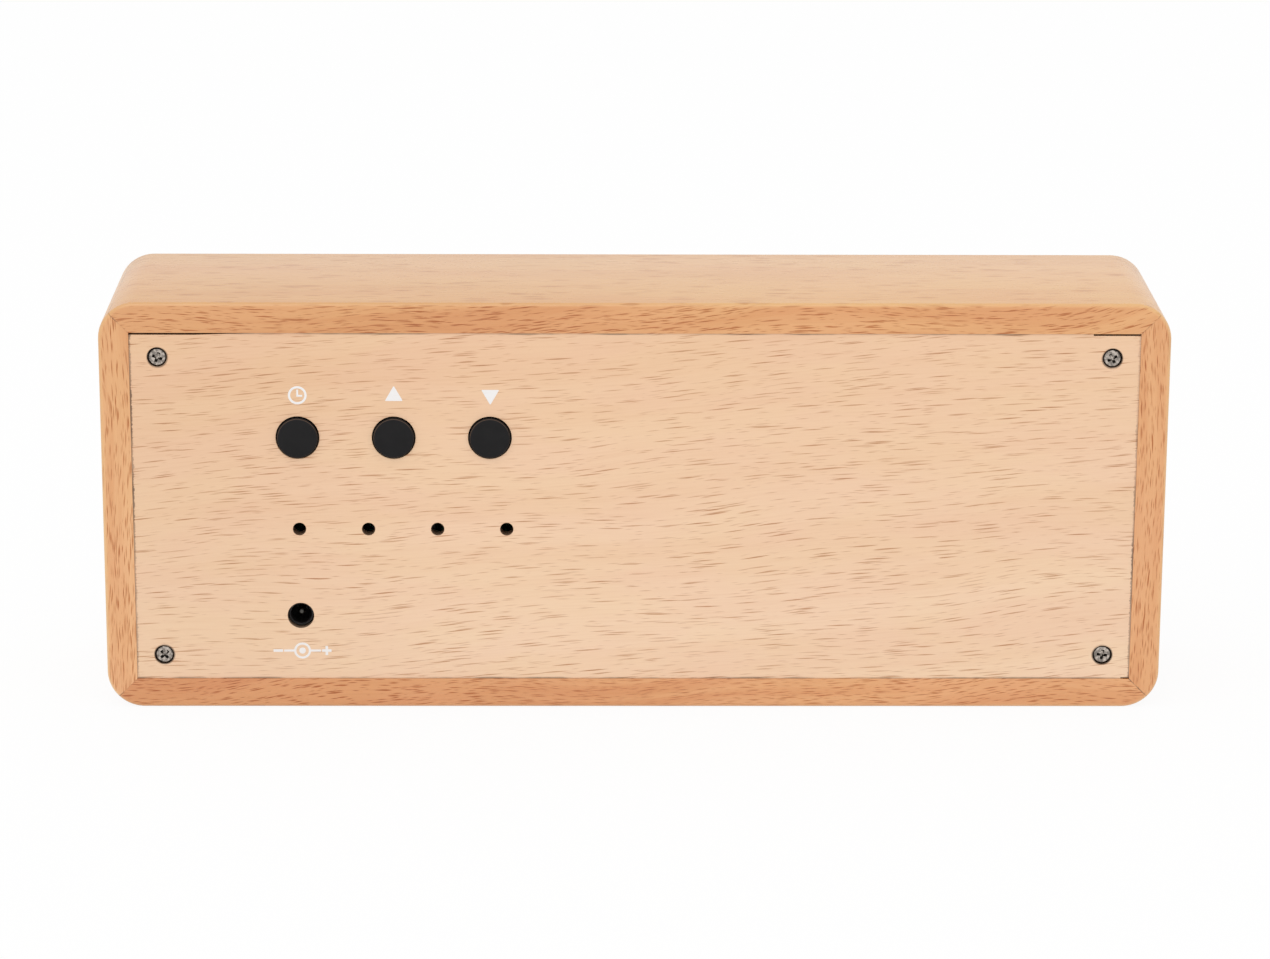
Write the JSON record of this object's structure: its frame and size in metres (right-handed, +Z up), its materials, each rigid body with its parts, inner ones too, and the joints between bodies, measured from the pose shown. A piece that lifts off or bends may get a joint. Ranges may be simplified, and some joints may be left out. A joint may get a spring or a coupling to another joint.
{
  "type": "binary clock",
  "caption": "Table clock in a mitred beech case with rows of round lamps on the front, and push buttons, sound holes and a power jack on a screwed back panel.",
  "frame": {"origin": "centre of the underside of the case, on the surface that the clock stands on", "axes": "+X along the width, +Y out of the back panel (the display faces -Y), +Z up"},
  "size_m": [0.2, 0.043, 0.079],
  "materials": {
    "frame_beech": "oiled beech, satin",
    "panel_beech": "pale lacquered beech, satin",
    "block_beech": "plain sawn beech",
    "screw_nickel": "nickel plated",
    "button_black": "satin",
    "switch_black": "fine grain",
    "switch_steel": "tinned sheet",
    "dome_steel": "polished spring steel",
    "tinned_copper": "bright tin",
    "board_green": "solder resist on glass fibre",
    "spacer_nylon": "natural nylon",
    "screw_zinc": "zinc plated",
    "jack_black": "satin",
    "jack_nickel": "nickel plated",
    "contact_brass": "bright spring strip",
    "sounder_black": "fine grain",
    "chip_black": "moulded, fine grain",
    "crystal_can": "drawn can",
    "capacitor_black": "satin",
    "capacitor_can": "satin sleeve",
    "holder_black": "satin",
    "cell_steel": "nickel plated",
    "connector_white": "natural nylon",
    "ribbon_grey": "ribbed insulation",
    "lamp_red": "tinted clear epoxy",
    "resistor_black": "glazed ceramic"
  },
  "bodies": {
    "root": {"frame_top": "frame_beech", "frame_bottom": "frame_beech", "frame_left": "frame_beech", "frame_right": "frame_beech", "front_panel": "panel_beech", "back_panel": "panel_beech", "corner_block_top_left": "block_beech", "corner_block_top_right": "block_beech", "corner_block_bottom_left": "block_beech", "corner_block_bottom_right": "block_beech", "back_panel_screws": "screw_nickel", "set_switch_base": "switch_black", "set_switch_cover": "switch_steel", "up_switch_base": "switch_black", "up_switch_cover": "switch_steel", "down_switch_base": "switch_black", "down_switch_cover": "switch_steel", "switch_domes": "dome_steel", "switch_terminals": "tinned_copper", "control_board": "board_green", "control_spacers": "spacer_nylon", "control_board_screws": "screw_zinc", "power_jack_body": "jack_black", "power_jack_pin": "jack_nickel", "power_jack_contact": "contact_brass", "sounder_case": "sounder_black", "sounder_base": "sounder_black", "microcontroller_body": "chip_black", "microcontroller_leads": "tinned_copper", "clock_chip_body": "chip_black", "clock_chip_leads": "tinned_copper", "crystal": "crystal_can", "capacitor_base": "capacitor_black", "capacitor_can": "capacitor_can", "coin_cell_holder": "holder_black", "coin_cell": "cell_steel", "cell_strap": "switch_steel", "control_socket": "connector_white", "control_plug": "connector_white", "display_socket": "connector_white", "display_plug": "connector_white", "ribbon_cable": "ribbon_grey", "display_board": "board_green", "display_spacers": "spacer_nylon", "display_board_screws": "screw_zinc", "led_lenses": "lamp_red", "led_leads": "tinned_copper", "led_resistors": "resistor_black"},
    "set_button": {"set_button_cap": "button_black", "set_switch_plunger": "switch_black"},
    "up_button": {"up_button_cap": "button_black", "up_switch_plunger": "switch_black"},
    "down_button": {"down_button_cap": "button_black", "down_switch_plunger": "switch_black"}
  },
  "joints": [
    {"name": "set_press", "type": "slide", "parent": "root", "child": "set_button", "axis": [0, -1, 0], "range_m": [0, 0.00025], "stiffness_N_per_m": 6400},
    {"name": "up_press", "type": "slide", "parent": "root", "child": "up_button", "axis": [0, -1, 0], "range_m": [0, 0.00025], "stiffness_N_per_m": 6400},
    {"name": "down_press", "type": "slide", "parent": "root", "child": "down_button", "axis": [0, -1, 0], "range_m": [0, 0.00025], "stiffness_N_per_m": 6400}
  ]
}
